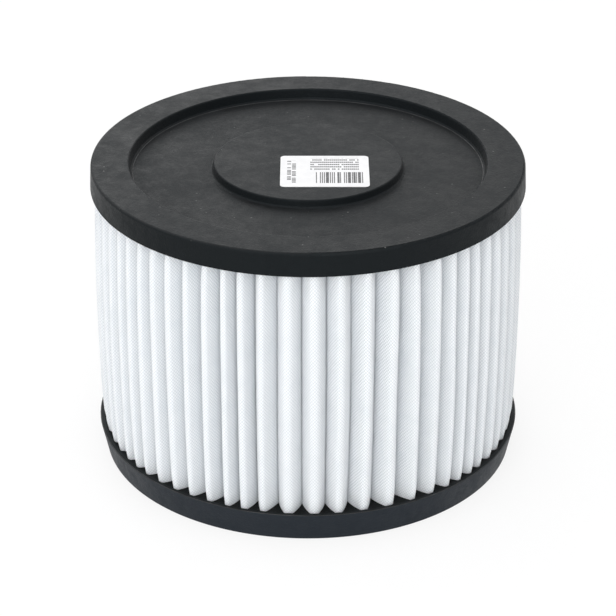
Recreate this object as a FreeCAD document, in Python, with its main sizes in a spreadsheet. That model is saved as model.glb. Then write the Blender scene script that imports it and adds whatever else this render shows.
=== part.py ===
import FreeCAD, Part
import math
import os

import Sketcher

# A round pleated air filter for a wet and dry vacuum cleaner, in millimetres.
# The axis is Z, the open end stands on the plane z = 0 and the closed end is on top.
# A white accordion of bonded polyester stands between two black cast end caps, round a lattice cage that
# keeps the suction from folding it inwards. A paper label is stuck on the closed cap.

DRIVING_SIZES = [
    # alias, value, what it is
    ("overall_height", 137.5, "from the seal face to the top of the rim"),
    ("cap_radius", 95.0, "widest edge of both end caps"),
    ("top_cap_height", 10.3, "outer wall of the closed cap"),
    ("top_cap_draft", 0.5, "how much narrower the closed cap is at its top"),
    ("rim_width", 16.5, "flat rim around the recess of the closed cap"),
    ("recess_depth", 4.9, "recess in the closed cap, below the rim"),
    ("recess_draft", 0.7, "lean of the recess wall"),
    ("boss_radius", 41.0, "top of the round boss in the recess"),
    ("boss_height", 3.5, "boss above the floor of the recess"),
    ("boss_draft", 0.7, "lean of the boss wall"),
    ("bottom_cap_height", 13.5, "outer wall of the open cap"),
    ("bottom_cap_taper", 2.9, "how much narrower the open cap is at its seal face"),
    ("bore_radius", 61.0, "hole in the open cap, for the collar of the cleaner"),
    ("bore_lead_in", 1.5, "chamfer at the mouth of the bore"),
    ("lip_width", 2.0, "lip of each cap around the ends of the pleats"),
    ("lip_height", 0.8, "lip above the bed in which the pleats stand"),
    ("lip_clearance", 0.2, "between the lips and the pleat tips"),
    ("edge_round", 1.2, "outer edges of both caps"),
    ("step_round", 0.7, "top edges of the recess and the boss"),
    ("foot_round", 1.0, "foot of the recess wall and of the boss wall"),
    ("pleat_count", 62.0, "pleats round the filter"),
    ("media_thickness", 0.6, "sheet of bonded polyester"),
    ("tip_bend", 1.5, "outside radius of a pleat at its tip"),
    ("side_bend", 22.0, "outside radius of the bellied sides behind a tip"),
    ("pleat_gap", 0.5, "air between the flanks of two pleats"),
    ("pleat_turn", 4.2, "first pleat from the X axis, in degrees"),
    ("cage_radius", 66.5, "outside of the support cage"),
    ("cage_wall", 2.0, "wall of the support cage"),
    ("cage_clearance", 0.3, "between the cage and the inner folds of the pleats"),
    ("cage_ribs", 20.0, "upright ribs of the cage"),
    ("cage_rib_width", 3.5, "upright rib"),
    ("cage_rows", 5.0, "rows of windows in the cage"),
    ("cage_hoop_height", 3.0, "hoop between two rows of windows"),
    ("cage_end_hoop", 6.0, "hoop at each end of the cage"),
    ("seat_depth", 2.2, "groove in each cap that holds the cage"),
    ("seat_clearance", 0.15, "between the cage and the walls of its grooves"),
    ("label_length", 38.3, "paper label, across"),
    ("label_width", 32.1, "paper label, front to back"),
    ("label_thickness", 0.2, "paper label and its glue"),
    ("label_corner", 2.0, "corner radius of the label"),
    ("label_right", 7.2, "middle of the label from the axis, along X"),
    ("label_forward", 11.6, "middle of the label from the axis, towards -Y"),
]

# Heights and radii that more than one piece shares, as expressions of the sheet's cells.
RIM_TOP = "Sizes.overall_height"
RECESS_FLOOR = "Sizes.overall_height - Sizes.recess_depth"
BOSS_TOP = RECESS_FLOOR + " + Sizes.boss_height"
RECESS_RADIUS = "Sizes.cap_radius - Sizes.top_cap_draft - Sizes.rim_width"
LIP_INSIDE = "Sizes.cap_radius - Sizes.lip_width"
TOP_LIP = "Sizes.overall_height - Sizes.top_cap_height"
TOP_BED = TOP_LIP + " + Sizes.lip_height"
BOTTOM_LIP = "Sizes.bottom_cap_height"
BOTTOM_BED = BOTTOM_LIP + " - Sizes.lip_height"
CAGE_INSIDE = "Sizes.cage_radius - Sizes.cage_wall"
SEAT_OUTSIDE = "Sizes.cage_radius + Sizes.seat_clearance"
SEAT_INSIDE = CAGE_INSIDE + " - Sizes.seat_clearance"
CAGE_BOTTOM = BOTTOM_BED + " - Sizes.seat_depth"
CAGE_TOP = TOP_BED + " + Sizes.seat_depth"
CAGE_HEIGHT = "(" + CAGE_TOP + ") - (" + CAGE_BOTTOM + ")"
WINDOW_PITCH = (
    "((" + CAGE_HEIGHT + ") - 2 * Sizes.cage_end_hoop + Sizes.cage_hoop_height) / Sizes.cage_rows"
)
PLEAT_OUTSIDE = LIP_INSIDE + " - Sizes.lip_clearance"
PLEAT_INSIDE = "Sizes.cage_radius + Sizes.cage_clearance"

doc = FreeCAD.newDocument("PleatedFilter")


def make_sheet():
    sheet = doc.addObject("Spreadsheet::Sheet", "Sizes")
    for row, (alias, value, meaning) in enumerate(DRIVING_SIZES, start=1):
        sheet.set(f"A{row}", meaning)
        sheet.set(f"B{row}", str(value))
        sheet.setAlias(f"B{row}", alias)
    doc.recompute()
    return sheet


def value_of(expression):
    return sheet.evalExpression(expression.replace("Sizes.", ""))


def origin_feature(body, role):
    return next(f for f in body.Origin.OriginFeatures if f.Role == role)


def new_sketch(body, name, role):
    sketch = body.newObject("Sketcher::SketchObject", name)
    sketch.AttachmentSupport = [(origin_feature(body, role), "")]
    sketch.MapMode = "FlatFace"
    return sketch


def bind(sketch, kind, where, expression):
    # A constraint whose size follows the sheet.
    value = value_of(expression)
    constraint = sketch.addConstraint(Sketcher.Constraint(kind, *where, value))
    sketch.setExpression(f"Constraints[{constraint}]", expression)


def polygon(sketch, corners):
    # A closed outline. Each corner is a pair of expressions, or None where it lies on that axis.
    points = [FreeCAD.Vector(*[value_of(c) if c else 0.0 for c in corner], 0.0) for corner in corners]
    last = len(points) - 1
    for i, point in enumerate(points):
        sketch.addGeometry(Part.LineSegment(point, points[(i + 1) % len(points)]), False)
    for i in range(len(points)):
        following = 0 if i == last else i + 1
        sketch.addConstraint(Sketcher.Constraint("Coincident", i, 2, following, 1))
    for i, (across, up) in enumerate(corners):
        if across:
            bind(sketch, "DistanceX", (-1, 1, i, 1), across)
        else:
            sketch.addConstraint(Sketcher.Constraint("PointOnObject", i, 1, -2))
        if up:
            bind(sketch, "DistanceY", (-1, 1, i, 1), up)
        else:
            sketch.addConstraint(Sketcher.Constraint("PointOnObject", i, 1, -1))


def rectangle(sketch, left, low, right, high):
    # Four joined sides with upright ends, from the lower left corner round. Returns the number of the first.
    corners = [(left, low), (right, low), (right, high), (left, high)]
    points = [FreeCAD.Vector(x, y, 0.0) for x, y in corners]
    sides = [sketch.addGeometry(Part.LineSegment(points[i], points[(i + 1) % 4]), False) for i in range(4)]
    for i in range(4):
        sketch.addConstraint(Sketcher.Constraint("Coincident", sides[i], 2, sides[(i + 1) % 4], 1))
    sketch.addConstraint(Sketcher.Constraint("Vertical", sides[1]))
    sketch.addConstraint(Sketcher.Constraint("Vertical", sides[3]))
    return sides[0]


def turned_body(label, corners):
    # A body of revolution about Z, from corners given as radius and height.
    body = doc.addObject("PartDesign::Body", label)
    sketch = new_sketch(body, label + "_section", "XZ_Plane")
    polygon(sketch, corners)
    turned = body.newObject("PartDesign::Revolution", label + "_turned")
    turned.Profile = sketch
    turned.ReferenceAxis = (sketch, ["V_Axis"])
    turned.Angle = 360.0
    doc.recompute()
    return body


def circle_edges(feature, radius, height):
    # Names of the full circles of a turned feature at one radius and height.
    near = 1e-4
    names = []
    for number, edge in enumerate(feature.Shape.Edges, start=1):
        curve = edge.Curve
        if not isinstance(curve, Part.Circle):
            continue
        if abs(curve.Radius - radius) < near and abs(curve.Center.z - height) < near:
            names.append(f"Edge{number}")
    return names


def dress(body, kind, name, size, corners):
    # A fillet or chamfer on the circles at the given radius and height expressions.
    base = body.Tip
    edges = []
    for radius, height in corners:
        found = circle_edges(base, value_of(radius), value_of(height))
        if not found:
            raise RuntimeError(f"{name}: no edge at radius {radius}, height {height}")
        edges += found
    feature = body.newObject("PartDesign::" + kind, name)
    feature.Base = (base, edges)
    feature.setExpression("Radius" if kind == "Fillet" else "Size", size)
    doc.recompute()
    return feature


def make_top_cap():
    # Closed cap: a flat rim round a recess, with a round boss in its middle, and a bed for the pleats below.
    boss_foot = "Sizes.boss_radius + Sizes.boss_draft"
    recess_foot = RECESS_RADIUS + " - Sizes.recess_draft"
    body = turned_body(
        "top_end_cap",
        [
            (None, BOSS_TOP),
            ("Sizes.boss_radius", BOSS_TOP),
            (boss_foot, RECESS_FLOOR),
            (recess_foot, RECESS_FLOOR),
            (RECESS_RADIUS, RIM_TOP),
            ("Sizes.cap_radius - Sizes.top_cap_draft", RIM_TOP),
            ("Sizes.cap_radius", TOP_LIP),
            (LIP_INSIDE, TOP_LIP),
            (LIP_INSIDE, TOP_BED),
            (SEAT_OUTSIDE, TOP_BED),
            (SEAT_OUTSIDE, CAGE_TOP),
            (SEAT_INSIDE, CAGE_TOP),
            (SEAT_INSIDE, TOP_BED),
            (None, TOP_BED),
        ],
    )
    dress(body, "Fillet", "cap_feet", "Sizes.foot_round",
          [(boss_foot, RECESS_FLOOR), (recess_foot, RECESS_FLOOR)])
    dress(body, "Fillet", "cap_steps", "Sizes.step_round",
          [("Sizes.boss_radius", BOSS_TOP), (RECESS_RADIUS, RIM_TOP)])
    dress(body, "Fillet", "cap_edge", "Sizes.edge_round",
          [("Sizes.cap_radius - Sizes.top_cap_draft", RIM_TOP)])
    return body


def make_bottom_cap():
    # Open cap: a tapered ring that seals on its flat underside and grips the collar with its bore.
    body = turned_body(
        "bottom_end_cap",
        [
            ("Sizes.bore_radius", None),
            ("Sizes.cap_radius - Sizes.bottom_cap_taper", None),
            ("Sizes.cap_radius", BOTTOM_LIP),
            (LIP_INSIDE, BOTTOM_LIP),
            (LIP_INSIDE, BOTTOM_BED),
            (SEAT_OUTSIDE, BOTTOM_BED),
            (SEAT_OUTSIDE, CAGE_BOTTOM),
            (SEAT_INSIDE, CAGE_BOTTOM),
            (SEAT_INSIDE, BOTTOM_BED),
            ("Sizes.bore_radius", BOTTOM_BED),
        ],
    )
    dress(body, "Fillet", "ring_edge", "Sizes.edge_round",
          [("Sizes.cap_radius - Sizes.bottom_cap_taper", "0")])
    dress(body, "Chamfer", "ring_mouth", "Sizes.bore_lead_in", [("Sizes.bore_radius", "0")])
    return body


def window_sketch(body):
    # One upright column of windows, a rectangle for each row.
    half_width = "(2 * Sizes.cage_radius * sin(180 deg / Sizes.cage_ribs) - Sizes.cage_rib_width) / 2"
    sketch = new_sketch(body, "cage_windows", "XZ_Plane")
    half = value_of(half_width)
    for row in range(int(value_of("Sizes.cage_rows"))):
        bottom = CAGE_BOTTOM + f" + Sizes.cage_end_hoop + {row} * (" + WINDOW_PITCH + ")"
        top = bottom + " + " + WINDOW_PITCH + " - Sizes.cage_hoop_height"
        low = value_of(bottom)
        high = value_of(top)
        first = rectangle(sketch, -half, low, half, high)
        sketch.addConstraint(Sketcher.Constraint("Symmetric", first, 1, first, 2, -2))
        sketch.addConstraint(Sketcher.Constraint("Horizontal", first + 2))
        bind(sketch, "DistanceX", (-1, 1, first, 2), half_width)
        bind(sketch, "DistanceY", (-1, 1, first, 2), bottom)
        bind(sketch, "DistanceY", (-1, 1, first + 2, 1), top)
    return sketch


def make_cage():
    # Support cage: a tube with rows of windows between upright ribs and hoops.
    body = turned_body(
        "support_cage",
        [
            (CAGE_INSIDE, CAGE_BOTTOM),
            ("Sizes.cage_radius", CAGE_BOTTOM),
            ("Sizes.cage_radius", CAGE_TOP),
            (CAGE_INSIDE, CAGE_TOP),
        ],
    )
    tube_volume = body.Shape.Volume
    column = body.newObject("PartDesign::Pocket", "cage_window_column")
    column.Profile = window_sketch(body)
    column.setExpression("Length", "Sizes.cage_radius + Sizes.cage_wall")
    column.Refine = False
    doc.recompute()
    around = body.newObject("PartDesign::PolarPattern", "cage_window_ring")
    around.Originals = [column]
    around.Axis = (origin_feature(body, "Z_Axis"), [""])
    around.Angle = 360.0
    around.setExpression("Occurrences", "Sizes.cage_ribs")
    around.Refine = False
    body.Tip = around
    doc.recompute()
    if body.Shape.Volume > 0.9 * tube_volume:
        raise RuntimeError("the windows of the cage cut nothing")
    return body


def polar(radius, angle):
    return FreeCAD.Vector(radius * math.cos(angle), radius * math.sin(angle), 0.0)


def mirrored(point):
    return FreeCAD.Vector(point.x, -point.y, 0.0)


def fold_outline(inset):
    # One face of the folded sheet, at a distance inside its outer face.
    # Half a pleat runs from its tip on the X axis to the root on the plane between it and the next pleat:
    # a tight arc round the tip, a wide arc for the bellied side, a straight flank, and half of the root's crease.
    count = int(value_of("Sizes.pleat_count"))
    half_pitch = math.pi / count
    tip_bend = value_of("Sizes.tip_bend")
    side_bend = value_of("Sizes.side_bend")
    half_gap = value_of("Sizes.pleat_gap") / 2.0
    along = polar(1.0, half_pitch)
    towards_pleat = polar(1.0, half_pitch - math.pi / 2.0)

    tip_centre = FreeCAD.Vector(value_of(PLEAT_OUTSIDE) - tip_bend, 0.0, 0.0)
    # The side's circle touches the flank and holds the tip's circle, so its centre is fixed by both.
    side_across = half_gap + side_bend
    reach = math.sqrt((side_bend - tip_bend) ** 2 - (side_across - tip_centre.dot(towards_pleat)) ** 2)
    side_centre = along * (tip_centre.dot(along) - reach) + towards_pleat * side_across
    root = along * (value_of(PLEAT_INSIDE) + value_of("Sizes.media_thickness") - inset)

    to_tip = (tip_centre - side_centre).normalize()
    to_middle = (to_tip - towards_pleat).normalize()
    tip = tip_centre + FreeCAD.Vector(tip_bend - inset, 0.0, 0.0)
    side_start = side_centre + to_tip * (side_bend - inset)
    side_middle = side_centre + to_middle * (side_bend - inset)
    flank_start = side_centre - towards_pleat * (side_bend - inset)
    flank_end = root + towards_pleat * (half_gap + inset)

    pitch = FreeCAD.Rotation(FreeCAD.Vector(0.0, 0.0, 1.0), math.degrees(2.0 * half_pitch))
    pleat = [
        Part.Arc(mirrored(side_start), tip, side_start),
        Part.Arc(side_start, side_middle, flank_start),
        Part.LineSegment(flank_start, flank_end),
        Part.LineSegment(flank_end, pitch.multVec(mirrored(flank_end))),
        Part.LineSegment(mirrored(flank_start), mirrored(flank_end)),
        Part.Arc(mirrored(side_start), mirrored(side_middle), mirrored(flank_start)),
    ]
    first_turn = value_of("Sizes.pleat_turn")
    edges = []
    for number in range(count):
        turn = first_turn + number * 360.0 / count
        for curve in pleat:
            edge = curve.toShape()
            edge.rotate(FreeCAD.Vector(), FreeCAD.Vector(0.0, 0.0, 1.0), turn)
            edges.append(edge)
    return Part.Wire(Part.__sortEdges__(edges))


def make_media():
    # The accordion: the folded section between its outer and its inner face, drawn up from bed to bed.
    section = doc.addObject("Part::Feature", "pleat_section")
    faces = [fold_outline(0.0), fold_outline(value_of("Sizes.media_thickness"))]
    section.Shape = Part.makeFace(faces, "Part::FaceMakerBullseye")
    section.setExpression("Placement.Base.z", BOTTOM_BED)
    media = doc.addObject("Part::Extrusion", "pleated_media")
    media.Base = section
    media.DirMode = "Custom"
    media.Dir = FreeCAD.Vector(0.0, 0.0, 1.0)
    media.setExpression("LengthFwd", "(" + TOP_BED + ") - (" + BOTTOM_BED + ")")
    media.Solid = True
    doc.recompute()
    return media


def make_label():
    # Blank paper label with round corners, stuck on the boss.
    body = doc.addObject("PartDesign::Body", "paper_label")
    sketch = new_sketch(body, "label_outline", "XY_Plane")
    half_length = value_of("Sizes.label_length") / 2.0
    half_width = value_of("Sizes.label_width") / 2.0
    first = rectangle(sketch, -half_length, -half_width, half_length, half_width)
    sketch.addConstraint(Sketcher.Constraint("Horizontal", first))
    sketch.addConstraint(Sketcher.Constraint("Horizontal", first + 2))
    sketch.addConstraint(Sketcher.Constraint("Symmetric", first, 1, first + 2, 1, -1, 1))
    bind(sketch, "DistanceX", (first, 1, first, 2), "Sizes.label_length")
    bind(sketch, "DistanceY", (first + 1, 1, first + 1, 2), "Sizes.label_width")
    sheet_pad = body.newObject("PartDesign::Pad", "label_sheet")
    sheet_pad.Profile = sketch
    sheet_pad.setExpression("Length", "Sizes.label_thickness")
    doc.recompute()
    upright = [
        f"Edge{number}"
        for number, edge in enumerate(sheet_pad.Shape.Edges, start=1)
        if abs(edge.Vertexes[0].Z - edge.Vertexes[-1].Z) > 0.0
    ]
    corners = body.newObject("PartDesign::Fillet", "label_corners")
    corners.Base = (sheet_pad, upright)
    corners.setExpression("Radius", "Sizes.label_corner")
    body.setExpression("Placement.Base.x", "Sizes.label_right")
    body.setExpression("Placement.Base.y", "-Sizes.label_forward")
    body.setExpression("Placement.Base.z", BOSS_TOP)
    doc.recompute()
    return body


def check_and_write(pieces):
    for thing in doc.Objects:
        if "Invalid" in thing.State or "Error" in thing.State:
            raise RuntimeError(f"{thing.Label} failed: {thing.State}")
    os.makedirs("parts", exist_ok=True)
    for piece in pieces:
        shape = piece.Shape
        if shape.isNull() or not shape.isValid() or not shape.Solids:
            raise RuntimeError(f"{piece.Label} has no valid solid")
    for piece in pieces:
        piece.Shape.exportStep(os.path.join("parts", piece.Label + ".step"))
        print(f"{piece.Label}: {len(piece.Shape.Solids)} solid, {piece.Shape.Volume / 1000:.2f} cm3")


sheet = make_sheet()
check_and_write([make_top_cap(), make_bottom_cap(), make_cage(), make_media(), make_label()])
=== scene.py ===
import math
import random

import bpy
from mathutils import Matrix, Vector


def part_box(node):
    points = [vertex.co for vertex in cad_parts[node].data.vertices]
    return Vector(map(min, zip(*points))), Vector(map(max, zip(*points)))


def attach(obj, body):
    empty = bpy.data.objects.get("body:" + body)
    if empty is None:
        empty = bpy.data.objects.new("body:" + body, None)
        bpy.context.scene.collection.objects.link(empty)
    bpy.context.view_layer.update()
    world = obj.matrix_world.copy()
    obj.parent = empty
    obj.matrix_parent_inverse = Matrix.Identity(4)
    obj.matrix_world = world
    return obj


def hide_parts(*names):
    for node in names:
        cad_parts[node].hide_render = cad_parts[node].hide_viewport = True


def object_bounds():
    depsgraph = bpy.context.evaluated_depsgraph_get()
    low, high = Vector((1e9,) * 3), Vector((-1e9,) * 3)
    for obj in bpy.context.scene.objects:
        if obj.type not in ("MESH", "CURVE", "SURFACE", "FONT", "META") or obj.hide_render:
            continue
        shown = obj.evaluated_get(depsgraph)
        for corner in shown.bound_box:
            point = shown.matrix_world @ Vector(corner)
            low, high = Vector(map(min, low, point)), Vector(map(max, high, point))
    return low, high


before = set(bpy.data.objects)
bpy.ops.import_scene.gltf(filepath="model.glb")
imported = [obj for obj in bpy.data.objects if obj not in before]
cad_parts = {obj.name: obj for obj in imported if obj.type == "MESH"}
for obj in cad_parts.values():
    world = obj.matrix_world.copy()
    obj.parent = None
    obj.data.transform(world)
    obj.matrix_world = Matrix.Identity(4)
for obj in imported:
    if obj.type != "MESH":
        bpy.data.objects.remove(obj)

# Round pleated filter on a pale floor: black cast caps, a white folded sheet between them, a paper label
mm = 0.001
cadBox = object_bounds()
scene = bpy.context.scene
scene.view_settings.view_transform = "Standard"
bpy.ops.object.select_all(action="DESELECT")


# small helpers for shader trees

def addNode(tree, kind, sockets=None, **settings):
    node = tree.nodes.new(kind)
    for name, value in settings.items():
        setattr(node, name, value)
    for name, value in (sockets or {}).items():
        feed(tree, node.inputs[name], value)
    return node


def feed(tree, socket, value):
    if isinstance(value, bpy.types.NodeSocket):
        tree.links.new(value, socket)
    else:
        socket.default_value = value


def calc(tree, operation, first, second=None, third=None, clamp=False):
    node = tree.nodes.new("ShaderNodeMath")
    node.operation = operation
    node.use_clamp = clamp
    for socket, value in zip(node.inputs, (first, second, third)):
        if value is not None:
            feed(tree, socket, value)
    return node.outputs[0]


def ramp(tree, value, ends, to=(0.0, 1.0)):
    # a smooth step from one level to another
    node = addNode(tree, "ShaderNodeMapRange", interpolation_type="SMOOTHSTEP")
    for name, number in zip(("From Min", "From Max", "To Min", "To Max"), (*ends, *to)):
        node.inputs[name].default_value = number
    feed(tree, node.inputs["Value"], value)
    return node.outputs["Result"]


def mixColour(tree, share, first, second):
    node = tree.nodes.new("ShaderNodeMix")
    node.data_type = "RGBA"
    feed(tree, node.inputs["Factor"], share)
    feed(tree, node.inputs[6], first)
    feed(tree, node.inputs[7], second)
    return node.outputs[2]


def noise(tree, place, scale, detail=3.0, roughness=0.55):
    sockets = {"Vector": place, "Scale": scale, "Detail": detail, "Roughness": roughness}
    return addNode(tree, "ShaderNodeTexNoise", sockets).outputs["Fac"]


def axes(tree, vector):
    return addNode(tree, "ShaderNodeSeparateXYZ", {"Vector": vector}).outputs


def channels(tree, colour):
    return addNode(tree, "ShaderNodeSeparateColor", {"Color": colour}).outputs


def objectPlace(tree):
    return addNode(tree, "ShaderNodeTexCoord").outputs["Object"]


def addBump(tree, shader, height, strength, depth):
    bump = addNode(tree, "ShaderNodeBump", {"Height": height, "Strength": strength, "Distance": depth})
    feed(tree, shader.inputs["Normal"], bump.outputs["Normal"])


def newGroup(name, inputs, outputs):
    group = bpy.data.node_groups.new(name, "ShaderNodeTree")
    for label, kind, start in inputs:
        socket = group.interface.new_socket(label, in_out="INPUT", socket_type=kind)
        if start is not None:
            socket.default_value = start
    for label in outputs:
        group.interface.new_socket(label, in_out="OUTPUT", socket_type="NodeSocketFloat")
    return group, group.nodes.new("NodeGroupInput").outputs, group.nodes.new("NodeGroupOutput").inputs


def placeGroup(tree, group, sockets):
    return addNode(tree, "ShaderNodeGroup", sockets, node_tree=group).outputs


def newMaterial(name):
    material = bpy.data.materials.new(name)
    material.use_nodes = True
    tree = material.node_tree
    return material, tree, tree.nodes["Principled BSDF"]


# dust: fine pale specks of mixed size

dustLook = {
    "cellCount": 420.0,
    "amount": 0.25,
    "smallest": 0.05,           # radius of a speck, against its cell
    "sizeSpread": 0.16,
    "faintest": 0.3,
}


def makeDust():
    inputs = [("Place", "NodeSocketVector", None), ("Cell Count", "NodeSocketFloat", dustLook["cellCount"]),
              ("Amount", "NodeSocketFloat", dustLook["amount"])]
    group, given, out = newGroup("settledDust", inputs, ["Mask"])
    cell = addNode(group, "ShaderNodeTexVoronoi", {"Vector": given["Place"], "Scale": given["Cell Count"]})
    pick = channels(group, cell.outputs["Color"])
    present = calc(group, "LESS_THAN", pick["Red"], given["Amount"])
    size = calc(group, "MULTIPLY_ADD", pick["Green"], dustLook["sizeSpread"], dustLook["smallest"])
    reach = calc(group, "DIVIDE", cell.outputs["Distance"], size)
    speck = calc(group, "SUBTRACT", 1.0, reach, clamp=True)
    faintest = dustLook["faintest"]
    strength = calc(group, "MULTIPLY_ADD", pick["Blue"], 1.0 - faintest, faintest)
    whole = calc(group, "MULTIPLY", calc(group, "MULTIPLY", speck, present), strength)
    group.links.new(whole, out["Mask"])
    return group


# cast skin: cloudy mottling, a fine pebble and the pits of a poured skin

castSkinLook = {
    "broad": (26.0, 4.0, 0.6),          # scale, detail and roughness of each layer of mottling
    "middle": (170.0, 4.0, 0.65),
    "fine": (620.0, 3.0, 0.6),
    "shares": (0.35, 0.4, 0.25),        # of the three layers in the cloud
    "pebbleCount": 1500.0,
    "pebble": (2.0, 0.5),               # detail and roughness
    "swell": 0.35,                      # how far the middle layer also stands up
    "pitCount": 260.0,
    "pitWall": (0.02, 0.12),
    "pitAmount": 0.12,
    "pitDepth": 0.6,
}


def makeCastSkin():
    look = castSkinLook
    inputs = [("Place", "NodeSocketVector", None), ("Pebble Count", "NodeSocketFloat", look["pebbleCount"])]
    group, given, out = newGroup("castSkin", inputs, ["Cloud", "Height"])
    layers = [noise(group, given["Place"], *look[name]) for name in ("broad", "middle", "fine")]
    broad, middle, fine = layers
    broadShare, middleShare, fineShare = look["shares"]
    patches = calc(group, "MULTIPLY_ADD", middle, middleShare, calc(group, "MULTIPLY", broad, broadShare))
    cloud = calc(group, "MULTIPLY_ADD", fine, fineShare, patches)
    pebble = noise(group, given["Place"], given["Pebble Count"], *look["pebble"])
    cells = {"Vector": given["Place"], "Scale": look["pitCount"]}
    pits = addNode(group, "ShaderNodeTexVoronoi", cells).outputs
    rare = calc(group, "LESS_THAN", channels(group, pits["Color"])["Red"], look["pitAmount"])
    hollow = calc(group, "SUBTRACT", 1.0, ramp(group, pits["Distance"], look["pitWall"]))
    hollow = calc(group, "MULTIPLY", hollow, rare)
    raised = calc(group, "MULTIPLY_ADD", middle, look["swell"], pebble)
    height = calc(group, "SUBTRACT", raised, calc(group, "MULTIPLY", hollow, look["pitDepth"]))
    group.links.new(cloud, out["Cloud"])
    group.links.new(height, out["Height"])
    return group


dust = makeDust()
castSkin = makeCastSkin()
print("shared finishes made")


# black cast polyurethane of both end caps

capLook = {
    "darkColour": (0.0026, 0.0032, 0.0037, 1.0),        # tops, mottled between these two
    "paleColour": (0.0105, 0.0118, 0.0130, 1.0),
    "cloudEnds": (0.38, 0.64),
    "topFacing": (0.3, 0.95),                           # how far a face looks up, from wall to top
    # painted shade: the closed cap's walls are darker than its tops, as if lit from above
    "shadedWallColour": (0.0024, 0.0036, 0.0044, 1.0),
    "lowWallColour": (0.0105, 0.0138, 0.0190, 1.0),     # the open cap's wall is the paler one
    "lowWallTop": 14.0 * mm,
    "bedShadeColour": (0.0012, 0.0013, 0.0014, 1.0),         # potted bed of the open cap, painted darker than the rest as shade between the pleats' feet
    "bedRadius": 93.05 * mm,
    "bedHeight": 12.7 * mm,
    "bedBand": 0.15 * mm,
    "dustColour": (0.22, 0.22, 0.215, 1.0),
    "dustAmount": 0.10,
    "roughness": (0.44, 0.66),
    "roughCloudEnds": (0.36, 0.66),
    "bumpStrength": 0.45,
    "bumpDepth": 0.25 * mm,
    "specularLevel": 0.15,
    "specularTint": (0.86, 0.95, 1.0, 1.0),
    "sheenWeight": 0.03,
    "sheenRoughness": 0.45,
}


def makeCapMaterial():
    material, tree, shader = newMaterial("castCapBlack")
    place = objectPlace(tree)
    split = axes(tree, place)
    skin = placeGroup(tree, castSkin, {"Place": place, "Pebble Count": castSkinLook["pebbleCount"]})
    facing = axes(tree, addNode(tree, "ShaderNodeNewGeometry").outputs["Normal"])["Z"]
    upward = ramp(tree, facing, capLook["topFacing"])
    cloud = ramp(tree, skin["Cloud"], capLook["cloudEnds"])
    top = mixColour(tree, cloud, capLook["darkColour"], capLook["paleColour"])
    low = calc(tree, "LESS_THAN", split["Z"], capLook["lowWallTop"])
    wall = mixColour(tree, low, capLook["shadedWallColour"], capLook["lowWallColour"])
    # painted shade: faces turned away from up take the wall colours, so the closed cap's walls come out
    # darker than its tops
    body = mixColour(tree, upward, wall, top)
    # painted shade: the potted bed inside the lip takes a darker colour, standing in for the shadow between
    # the pleats' feet
    squareY = calc(tree, "MULTIPLY", split["Y"], split["Y"])
    radius = calc(tree, "SQRT", calc(tree, "MULTIPLY_ADD", split["X"], split["X"], squareY))
    inside = calc(tree, "LESS_THAN", radius, capLook["bedRadius"])
    level = calc(tree, "COMPARE", split["Z"], capLook["bedHeight"], capLook["bedBand"])
    body = mixColour(tree, calc(tree, "MULTIPLY", inside, level), body, capLook["bedShadeColour"])
    dustPlace = {"Place": place, "Cell Count": dustLook["cellCount"], "Amount": capLook["dustAmount"]}
    settled = calc(tree, "MULTIPLY", placeGroup(tree, dust, dustPlace)["Mask"], upward)
    feed(tree, shader.inputs["Base Color"], mixColour(tree, settled, body, capLook["dustColour"]))
    rough = ramp(tree, skin["Cloud"], capLook["roughCloudEnds"], capLook["roughness"])
    feed(tree, shader.inputs["Roughness"], rough)
    addBump(tree, shader, skin["Height"], capLook["bumpStrength"], capLook["bumpDepth"])
    shader.inputs["Specular IOR Level"].default_value = capLook["specularLevel"]
    shader.inputs["Specular Tint"].default_value = capLook["specularTint"]
    shader.inputs["Sheen Weight"].default_value = capLook["sheenWeight"]
    shader.inputs["Sheen Roughness"].default_value = capLook["sheenRoughness"]
    return material


# black moulded cage

cageLook = {
    "colour": (0.030, 0.030, 0.032, 1.0),
    "paleColour": (0.048, 0.048, 0.05, 1.0),
    "patchScale": 60.0,
    "patchEnds": (0.4, 0.62),
    "grain": (900.0, 2.0),      # scale and detail
    "grainEnds": (0.3, 0.7),
    "roughness": (0.38, 0.52),
    "bumpStrength": 0.3,
    "bumpDepth": 0.1 * mm,
}


def makeCageMaterial():
    material, tree, shader = newMaterial("mouldedCageBlack")
    place = objectPlace(tree)
    grain = noise(tree, place, *cageLook["grain"])
    patch = ramp(tree, noise(tree, place, cageLook["patchScale"]), cageLook["patchEnds"])
    colour = mixColour(tree, patch, cageLook["colour"], cageLook["paleColour"])
    feed(tree, shader.inputs["Base Color"], colour)
    feed(tree, shader.inputs["Roughness"], ramp(tree, grain, cageLook["grainEnds"], cageLook["roughness"]))
    addBump(tree, shader, grain, cageLook["bumpStrength"], cageLook["bumpDepth"])
    return material


# white paper label with plain bars, rules and a column of small blocks

labelLook = {
    "paper": (0.75, 0.75, 0.76, 1.0),
    "palePaper": (0.80, 0.80, 0.81, 1.0),
    "paperScale": 240.0,
    "paperEnds": (0.3, 0.7),
    "ink": (0.055, 0.055, 0.06, 1.0),
    "inkWear": (0.78, 1.0),
    "wearEnds": (0.2, 0.6),
    "fibreScale": 2600.0,
    "fibreEnds": (0.3, 0.7),
    "roughness": (0.5, 0.62),
    "bumpStrength": 0.15,
    "bumpDepth": 0.05 * mm,
}
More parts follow.
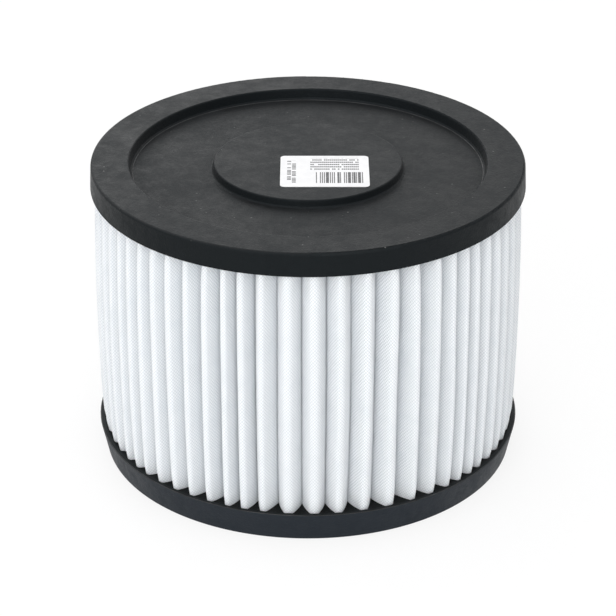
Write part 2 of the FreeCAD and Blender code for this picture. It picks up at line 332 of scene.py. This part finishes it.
# a field runs along one axis in cells and across it in rows, each inked over a part of its length
barPlace = {"along": "X", "ends": (3.4 * mm, 24.0 * mm), "sides": (-24.0 * mm, -12.8 * mm)}
oneRow = {"row": 1.0, "rowFill": 1.1}       # a row far larger than the label, inked all over
labelFields = [
    # thin and thick bars
    {**barPlace, **oneRow, "cell": 0.86 * mm, "cellFill": 0.5, "share": 0.93},
    {**barPlace, **oneRow, "cell": 2.3 * mm, "cellFill": 0.4, "share": 0.6},
    # rules
    {"along": "X", "ends": (1.0 * mm, 22.0 * mm), "sides": (-10.2 * mm, 2.0 * mm),
     "cell": 0.85 * mm, "cellFill": 0.8, "row": 2.4 * mm, "rowFill": 0.5, "share": 0.9},
    # column of blocks
    {"along": "Y", "ends": (-23.5 * mm, -0.5 * mm), "sides": (-9.0 * mm, -4.8 * mm),
     "cell": 1.35 * mm, "cellFill": 0.62, "row": 2.1 * mm, "rowFill": 0.8, "share": 0.75},
]


def makeField():
    # a rectangle on the paper, cut into cells along one way and rows along the other, some of them inked
    labels = ("Along", "Across", "Start", "End", "Low", "High",
              "Cell", "Cell Fill", "Row", "Row Fill", "Share")
    group, given, out = newGroup("inkField", [(label, "NodeSocketFloat", 0.0) for label in labels], ["Ink"])
    cellPlace = calc(group, "DIVIDE", calc(group, "SUBTRACT", given["Along"], given["Start"]), given["Cell"])
    rowPlace = calc(group, "DIVIDE", calc(group, "SUBTRACT", given["Across"], given["Low"]), given["Row"])
    steps = {"X": calc(group, "FLOOR", cellPlace), "Y": calc(group, "FLOOR", rowPlace)}
    seat = addNode(group, "ShaderNodeCombineXYZ", steps).outputs[0]
    chance = addNode(group, "ShaderNodeTexWhiteNoise", {"Vector": seat}, noise_dimensions="2D")
    ink = calc(group, "LESS_THAN", chance.outputs["Value"], given["Share"])
    for part, fill in ((rowPlace, "Row Fill"), (cellPlace, "Cell Fill")):
        filled = calc(group, "LESS_THAN", calc(group, "FRACT", part), given[fill])
        ink = calc(group, "MULTIPLY", ink, filled)
    for value, low, high in (("Along", "Start", "End"), ("Across", "Low", "High")):
        ink = calc(group, "MULTIPLY", ink, calc(group, "GREATER_THAN", given[value], given[low]))
        ink = calc(group, "MULTIPLY", ink, calc(group, "LESS_THAN", given[value], given[high]))
    group.links.new(ink, out["Ink"])
    return group


def makeLabelMaterial():
    material, tree, shader = newMaterial("labelPaper")
    place = objectPlace(tree)
    split = axes(tree, place)
    group = makeField()
    ink = 0.0
    for field in labelFields:
        across = "Y" if field["along"] == "X" else "X"
        start, end = field["ends"]
        low, high = field["sides"]
        sockets = {"Along": split[field["along"]], "Across": split[across], "Start": start, "End": end,
                   "Low": low, "High": high, "Cell": field["cell"], "Cell Fill": field["cellFill"],
                   "Row": field["row"], "Row Fill": field["rowFill"], "Share": field["share"]}
        ink = calc(tree, "MAXIMUM", ink, placeGroup(tree, group, sockets)["Ink"])
    fibre = noise(tree, place, labelLook["fibreScale"])
    soft = calc(tree, "MULTIPLY", ink, ramp(tree, fibre, labelLook["wearEnds"], labelLook["inkWear"]))
    cloud = ramp(tree, noise(tree, place, labelLook["paperScale"]), labelLook["paperEnds"])
    tone = mixColour(tree, cloud, labelLook["paper"], labelLook["palePaper"])
    feed(tree, shader.inputs["Base Color"], mixColour(tree, soft, tone, labelLook["ink"]))
    rough = ramp(tree, fibre, labelLook["fibreEnds"], labelLook["roughness"])
    feed(tree, shader.inputs["Roughness"], rough)
    addBump(tree, shader, fibre, labelLook["bumpStrength"], labelLook["bumpDepth"])
    return material


capMaterial = makeCapMaterial()
nodeFinish = {
    "top_end_cap": capMaterial,
    "bottom_end_cap": capMaterial,
    "support_cage": makeCageMaterial(),
    "paper_label": makeLabelMaterial(),
}
for nodeName, material in nodeFinish.items():
    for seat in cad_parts[nodeName].material_slots:
        seat.material = material
print("caps, cage and label finished")


# even rounding along the lower edge of the open cap, where it stands on the floor

footRound = {
    "centreRadius": 91.13 * mm,
    "bend": 1.2 * mm,
    "skin": 0.015 * mm,         # how far it stands out from the cap
    "segments": 256,
    "sides": 48,                # of the whole round that the quarter is cut from
    "sharpAngle": 50.0,
}


def makeFootRound():
    bpy.ops.object.select_all(action="DESELECT")
    height = footRound["bend"] + footRound["skin"]
    bpy.ops.mesh.primitive_torus_add(location=(0.0, 0.0, height), major_radius=footRound["centreRadius"],
                                     minor_radius=height, major_segments=footRound["segments"],
                                     minor_segments=footRound["sides"])
    edge = bpy.context.active_object
    edge.name = "footRound"
    bpy.ops.object.transform_apply(location=True, rotation=True, scale=True)
    bpy.ops.object.mode_set(mode="EDIT")
    bpy.ops.mesh.select_all(action="DESELECT")
    bpy.ops.object.mode_set(mode="OBJECT")
    for face in edge.data.polygons:
        outside = math.hypot(face.center.x, face.center.y) > footRound["centreRadius"]
        face.select = not outside or face.center.z > height
    bpy.ops.object.mode_set(mode="EDIT")
    bpy.ops.mesh.delete(type="FACE")
    bpy.ops.mesh.select_mode(type="EDGE")
    bpy.ops.mesh.select_all(action="SELECT")
    bpy.ops.mesh.region_to_loop()
    bpy.ops.mesh.bridge_edge_loops()        # closes the ring behind the rounding
    bpy.ops.mesh.select_all(action="SELECT")
    bpy.ops.mesh.normals_make_consistent(inside=False)
    bpy.ops.object.mode_set(mode="OBJECT")
    bpy.ops.object.shade_smooth_by_angle(angle=math.radians(footRound["sharpAngle"]))
    edge.data.materials.append(capMaterial)
    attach(edge, "root")


makeFootRound()
print("lower edge rounded")


# thin rings at the foot of the recess wall and along the lip of the open cap, paler than the cap: painted
# highlights along those edges

highlightBeads = {
    "recessRadius": 76.4 * mm,
    "recessDepth": 4.9 * mm,    # below the rim
    "lipRadius": 94.7 * mm,
    "lipHeight": 13.5 * mm,
    "width": 0.22 * mm,
    "flatness": 0.7,
    "raggedness": 0.03 * mm,
    "seed": 3,
    "segments": 240,
    "sides": 10,
    "colour": (0.020, 0.022, 0.024, 1.0),
    "patchScale": 90.0,
    "patchEnds": (0.42, 0.6),
    "roughness": (0.55, 0.4),
}


def makeBeadMaterial():
    material, tree, shader = newMaterial("highlightBeadGrey")
    patch = ramp(tree, noise(tree, objectPlace(tree), highlightBeads["patchScale"]), highlightBeads["patchEnds"])
    # painted highlight: the beads take a paler grey than the cap so they show as light lines
    colour = mixColour(tree, patch, capLook["paleColour"], highlightBeads["colour"])
    feed(tree, shader.inputs["Base Color"], colour)
    feed(tree, shader.inputs["Roughness"], ramp(tree, patch, (0.0, 1.0), highlightBeads["roughness"]))
    return material


def makeBead(name, radius, height, material):
    bpy.ops.object.select_all(action="DESELECT")
    bpy.ops.mesh.primitive_torus_add(location=(0.0, 0.0, height), major_radius=radius,
                                     minor_radius=highlightBeads["width"], major_segments=highlightBeads["segments"],
                                     minor_segments=highlightBeads["sides"])
    bead = bpy.context.active_object
    bead.name = name
    bpy.ops.object.transform_apply(location=True, rotation=True, scale=True)
    bpy.ops.object.mode_set(mode="EDIT")
    bpy.ops.mesh.select_all(action="SELECT")
    bpy.ops.transform.resize(value=(1.0, 1.0, highlightBeads["flatness"]), center_override=(0.0, 0.0, height))
    bpy.ops.transform.vertex_random(offset=highlightBeads["raggedness"], seed=highlightBeads["seed"])
    bpy.ops.object.mode_set(mode="OBJECT")
    bpy.ops.object.shade_smooth()
    bead.data.materials.append(material)
    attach(bead, "root")


beadMaterial = makeBeadMaterial()
recessFloor = cadBox[1][2] - highlightBeads["recessDepth"]
makeBead("recessBead", highlightBeads["recessRadius"], recessFloor, beadMaterial)
makeBead("lipBead", highlightBeads["lipRadius"], highlightBeads["lipHeight"], beadMaterial)
print("highlight beads made")


# white point-bonded polyester: a diagonal lattice of pressed points on a faintly fibrous sheet

mediaLook = {
    "colour": (0.928, 0.960, 0.990, 1.0),
    "pressedColour": (0.62, 0.68, 0.74, 1.0),
    "latticePitch": 1.6 * mm,
    "latticeRise": 1.15,
    "pillowEnds": (0.06, 0.48),
    "fibre": (1400.0, 4.0, 0.7),        # scale, detail and roughness
    "fibreHeight": 0.25,
    "cloud": (70.0, 3.0, 0.6),
    "cloudEnds": (0.2, 0.6),
    "cloudShade": (0.8, 1.0),
    "roughness": (0.62, 0.82),
    "bumpStrength": 1.0,
    "bumpDepth": 0.4 * mm,
    "specularLevel": 0.3,
    "sheenWeight": 0.6,
    "sheenRoughness": 0.6,
    "glowWeight": 0.25,         # light that soaks into the sheet
    "glowReach": 1.0 * mm,
}


def makeMediaMaterial():
    material, tree, shader = newMaterial("bondedPolyesterWhite")
    flat = addNode(tree, "ShaderNodeUVMap", uv_map="mediaFlat").outputs["UV"]
    split = axes(tree, flat)
    turns = math.pi / mediaLook["latticePitch"]
    across = calc(tree, "MULTIPLY", split["X"], turns * mediaLook["latticeRise"])
    up = calc(tree, "MULTIPLY", split["Y"], turns)
    waves = []
    for operation in ("ADD", "SUBTRACT"):
        waves.append(calc(tree, "ABSOLUTE", calc(tree, "SINE", calc(tree, operation, across, up))))
    pillow = ramp(tree, calc(tree, "MINIMUM", *waves), mediaLook["pillowEnds"])
    fibres = noise(tree, flat, *mediaLook["fibre"])
    cloud = noise(tree, flat, *mediaLook["cloud"])
    shade = ramp(tree, cloud, mediaLook["cloudEnds"], mediaLook["cloudShade"])
    plump = calc(tree, "MULTIPLY", pillow, shade)
    sheetColour = mixColour(tree, plump, mediaLook["pressedColour"], mediaLook["colour"])
    feed(tree, shader.inputs["Base Color"], sheetColour)
    feed(tree, shader.inputs["Roughness"], ramp(tree, pillow, (0.0, 1.0), mediaLook["roughness"]))
    height = calc(tree, "MULTIPLY_ADD", fibres, mediaLook["fibreHeight"], pillow)
    addBump(tree, shader, height, mediaLook["bumpStrength"], mediaLook["bumpDepth"])
    shader.inputs["Specular IOR Level"].default_value = mediaLook["specularLevel"]
    shader.inputs["Sheen Weight"].default_value = mediaLook["sheenWeight"]
    shader.inputs["Sheen Roughness"].default_value = mediaLook["sheenRoughness"]
    shader.inputs["Subsurface Weight"].default_value = mediaLook["glowWeight"]
    shader.inputs["Subsurface Radius"].default_value = (1.0, 1.0, 1.0)
    shader.inputs["Subsurface Scale"].default_value = mediaLook["glowReach"]
    return material


# the folded sheet, pleat by pleat, unevenly spaced

pleats = {
    "count": 62,
    "firstTip": 1.8,            # degrees from the front, towards +X
    "thickness": 0.6 * mm,
    "noseShare": 0.42,          # radius of a pleat's nose against half its own pitch
    "meetDepth": 8.5 * mm,      # how far behind the tips neighbouring pleats come together
    "flankBulge": 0.25 * mm,
    "gap": 0.1 * mm,
    "cageClearance": 0.3 * mm,
    "footPull": 0.5 * mm,       # tips drawn in at the foot and the head
    "belly": 1.5 * mm,          # tips pushed out half way up
    "swellRise": 0.4,           # how soon the belly starts above the foot and below the head
    "crowding": [(33.0, 17.0, 4.6), (17.0, 9.0, 0.8), (-11.0, 9.0, -2.2), (-65.0, 14.0, 1.3),
                 (-80.0, 22.0, 2.6), (150.0, 30.0, 2.4), (-150.0, 26.0, -2.0)],
    "leanSpread": 0.28,         # degrees, foot against head
    "waveSpread": 0.08,         # degrees
    "noseSpread": 0.15,
    "tipSpread": 0.15,          # mm
    "seed": 7,
    "rows": 22,
    "noseSteps": 5,
    "flankSteps": 5,
    "runSteps": 3,
    "rootSteps": 3,
    "sharpAngle": 50.0,
}


def tipAngle(number):
    # tips are pushed along the ring near a few places, each a bell of centre, width and push in degrees
    even = pleats["firstTip"] + number * 360.0 / pleats["count"]
    even = (even + 180.0) % 360.0 - 180.0
    pushed = 0.0
    for centre, width, push in pleats["crowding"]:
        pushed += push * math.exp(-((even - centre) / width) ** 2)
    return math.radians(even + pushed)


def onCircle(centre, radius, angle):
    return centre + Vector((math.cos(angle), math.sin(angle))) * radius


def halfPleat(halfPitch, tipRadius, rootRadius, nose):
    # from the tip on the X axis to the root on the plane between this pleat and the next
    halfGap = pleats["gap"] / 2.0
    along = Vector((math.cos(halfPitch), math.sin(halfPitch)))
    inward = Vector((math.sin(halfPitch), -math.cos(halfPitch)))
    noseCentre = Vector((tipRadius - nose, 0.0))
    meeting = along * (tipRadius - pleats["meetDepth"]) + inward * halfGap
    toMeeting = meeting - noseCentre
    noseEnd = math.atan2(toMeeting.y, toMeeting.x) - math.acos(nose / toMeeting.length)
    outward = Vector((math.cos(noseEnd), math.sin(noseEnd)))
    flankStart = noseCentre + outward * nose
    rootCentre = along * (rootRadius + halfGap)
    runEnd = rootCentre + inward * halfGap
    points = []
    for step in range(pleats["noseSteps"]):
        points.append(onCircle(noseCentre, nose, noseEnd * step / pleats["noseSteps"]))
    for step in range(pleats["flankSteps"]):
        share = step / pleats["flankSteps"]
        bulge = pleats["flankBulge"] * 4.0 * share * (1.0 - share)
        points.append(flankStart.lerp(meeting, share) + outward * bulge)
    for step in range(pleats["runSteps"]):
        points.append(meeting.lerp(runEnd, step / pleats["runSteps"]))
    for step in range(pleats["rootSteps"]):
        turn = math.atan2(inward.y, inward.x) - math.radians(90.0 * step / pleats["rootSteps"])
        points.append(onCircle(rootCentre, halfGap, turn))
    return points, rootCentre - along * halfGap


def mirrored(point):
    return Vector((point.x, -point.y))


def turned(point, angle):
    # plan angle counted from the front, -Y, towards +X
    spin = angle - math.pi / 2.0
    across = point.x * math.cos(spin) - point.y * math.sin(spin)
    return across, point.x * math.sin(spin) + point.y * math.cos(spin)


def sheetRing(share, tips, draws):
    # the plan outline of the sheet at one height, share from 0 at the foot to 1 at the head
    count = pleats["count"]
    fullTurn = 2.0 * math.pi
    swell = max(0.0, math.sin(math.pi * share)) ** pleats["swellRise"]
    angles = []
    for tip, draw in zip(tips, draws):
        wave = draw["wave"] * math.sin(fullTurn * share + draw["phase"]) * swell
        angles.append(tip + draw["lean"] * (share - 0.5) + wave)
    outline = []
    for number, draw in enumerate(draws):
        angle = angles[number]
        reach = pleats["footPull"] + pleats["belly"] + draw["tip"]
        tipRadius = outerRadius - pleats["footPull"] + reach * swell
        before = (angle - angles[number - 1]) % fullTurn / 2.0
        after = (angles[(number + 1) % count] - angle) % fullTurn / 2.0
        nose = pleats["noseShare"] * min(before, after) * tipRadius * (1.0 + draw["nose"])
        left, rootPoint = halfPleat(before, tipRadius, sheetRoot, nose)
        right, _ = halfPleat(after, tipRadius, sheetRoot, nose)
        whole = [mirrored(rootPoint)] + [mirrored(point) for point in reversed(left[1:])] + right
        outline += [turned(point, angle) for point in whole]
    return outline


def drawPleat(dice):
    # the chance part of one pleat
    return {
        "lean": math.radians(dice.gauss(0.0, pleats["leanSpread"])),
        "wave": math.radians(dice.gauss(0.0, pleats["waveSpread"])),
        "phase": dice.uniform(0.0, 2.0 * math.pi),
        "nose": dice.uniform(-pleats["noseSpread"], pleats["noseSpread"]),
        "tip": dice.gauss(0.0, pleats["tipSpread"]) * mm,
    }


def mapFlat(mesh, ring, heights):
    # lays the sheet out flat: along the middle ring, and up
    around = len(ring)
    lengths = [0.0]
    for step in range(around):
        lengths.append(lengths[-1] + math.dist(ring[step], ring[(step + 1) % around]))
    flatMap = mesh.uv_layers.new(name="mediaFlat")
    for face in mesh.polygons:
        row, step = divmod(face.index, around)
        corners = ((step, row), (step + 1, row), (step + 1, row + 1), (step, row + 1))
        for loop, (along, up) in zip(face.loop_indices, corners):
            flatMap.data[loop].uv = (lengths[along], heights[up])
    return lengths[-1]


def makeSheet():
    dice = random.Random(pleats["seed"])
    draws = [drawPleat(dice) for number in range(pleats["count"])]
    tips = sorted(tipAngle(number) for number in range(pleats["count"]))
    rows = pleats["rows"]
    rings = [sheetRing(row / (rows - 1), tips, draws) for row in range(rows)]
    heights = [sheetLow + (sheetHigh - sheetLow) * row / (rows - 1) for row in range(rows)]
    around = len(rings[0])
    vertices = []
    for ring, height in zip(rings, heights):
        vertices += [(x, y, height) for x, y in ring]
    faces = []
    for row in range(rows - 1):
        low, high = row * around, (row + 1) * around
        for step in range(around):
            following = (step + 1) % around
            faces.append((low + step, low + following, high + following, high + step))
    mesh = bpy.data.meshes.new("foldedSheet")
    mesh.from_pydata(vertices, [], faces)
    length = mapFlat(mesh, rings[rows // 2], heights)
    sheet = bpy.data.objects.new("foldedSheet", mesh)
    scene.collection.objects.link(sheet)
    bpy.ops.object.select_all(action="DESELECT")
    sheet.select_set(True)
    bpy.context.view_layer.objects.active = sheet
    wall = sheet.modifiers.new("sheetThickness", "SOLIDIFY")
    wall.thickness = pleats["thickness"]
    wall.offset = -1.0          # all of it inwards
    bpy.ops.object.modifier_apply(modifier=wall.name)
    bpy.ops.object.shade_smooth_by_angle(angle=math.radians(pleats["sharpAngle"]))
    sheet.data.materials.append(makeMediaMaterial())
    return sheet, length


mediaLow, mediaHigh = (Vector(corner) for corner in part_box("pleated_media"))
cageHigh = Vector(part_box("support_cage")[1])
outerRadius = mediaHigh.x
sheetRoot = cageHigh.x + pleats["cageClearance"] + pleats["thickness"]
sheetLow, sheetHigh = mediaLow.z, mediaHigh.z
media, sheetLength = makeSheet()
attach(media, "root")
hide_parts("pleated_media")
print("folded sheet made,", round(sheetLength, 3), "m long,", len(media.data.polygons), "faces")


# floor, sky, light and camera

stage = {
    "floorColour": (0.92, 0.92, 0.92, 1.0),
    "floorRoughness": 0.9,
    "floorSize": 8.0,
    "whiteShare": 0.82,         # of the floor that the camera sees as plain white
    "skyStrength": 0.85,
}
lamps = {
    "overheadSoft": {"place": (-0.15, 0.25, 1.3), "target": (0.0, 0.0, 0.1), "size": 0.9, "power": 2.0},
    "leftSoft": {"place": (-1.0, -0.6, 0.5), "target": (0.0, 0.0, 0.07), "size": 0.7, "power": 1.5},
    "frontSoft": {"place": (-0.2, -1.45, 0.75), "target": (0.0, 0.0, 0.07), "size": 1.6, "power": 13.0},
    "backSoft": {"place": (-0.35, 1.5, 0.9), "target": (0.0, 0.0, 0.13), "size": 1.0, "power": 4.0},
}
photoCamera = {"place": (0.0, -0.9558, 0.5640), "downTilt": 27.638, "lens": 140.2, "sensorWidth": 36.0}


def seenDirectly(tree):
    # camera, mirror and glass rays see the white background
    path = addNode(tree, "ShaderNodeLightPath").outputs
    seen = calc(tree, "MAXIMUM", path["Is Camera Ray"], path["Is Glossy Ray"])
    return calc(tree, "MAXIMUM", seen, path["Is Transmission Ray"])


def makeFloor():
    bpy.ops.mesh.primitive_plane_add(size=stage["floorSize"], location=(0.0, 0.0, 0.0))
    floor = bpy.context.active_object
    floor.name = "paleFloor"
    material, tree, shader = newMaterial("paleFloor")
    shader.inputs["Base Color"].default_value = stage["floorColour"]
    shader.inputs["Roughness"].default_value = stage["floorRoughness"]
    shader.inputs["Specular IOR Level"].default_value = 0.0
    glow = addNode(tree, "ShaderNodeEmission", {"Strength": 1.0})
    blend = addNode(tree, "ShaderNodeMixShader")
    feed(tree, blend.inputs[0], calc(tree, "MULTIPLY", seenDirectly(tree), stage["whiteShare"]))
    tree.links.new(shader.outputs[0], blend.inputs[1])
    tree.links.new(glow.outputs[0], blend.inputs[2])
    tree.links.new(blend.outputs[0], tree.nodes["Material Output"].inputs["Surface"])
    floor.data.materials.append(material)


def makeSky():
    world = bpy.data.worlds.new("studioSky")
    scene.world = world
    world.use_nodes = True
    tree = world.node_tree
    background = tree.nodes["Background"]
    background.inputs["Color"].default_value = (1.0, 1.0, 1.0, 1.0)
    strength = ramp(tree, seenDirectly(tree), (0.0, 1.0), (stage["skyStrength"], 1.0))
    feed(tree, background.inputs["Strength"], strength)


def addLamp(name, place, target, size, power):
    data = bpy.data.lights.new(name, "AREA")
    data.shape = "DISK"
    data.size = size
    data.energy = power
    lamp = bpy.data.objects.new(name, data)
    scene.collection.objects.link(lamp)
    lamp.location = place
    lamp.rotation_euler = (Vector(target) - Vector(place)).to_track_quat("-Z", "Y").to_euler()


def addCamera():
    data = bpy.data.cameras.new("photoCamera")
    data.sensor_width = photoCamera["sensorWidth"]
    data.lens = photoCamera["lens"]
    camera = bpy.data.objects.new("photoCamera", data)
    scene.collection.objects.link(camera)
    camera.location = photoCamera["place"]
    camera.rotation_euler = (math.radians(90.0 - photoCamera["downTilt"]), 0.0, 0.0)
    scene.camera = camera


makeFloor()
makeSky()
for lampName, lampValues in lamps.items():
    addLamp(lampName, **lampValues)
addCamera()
print("floor, light and camera set")
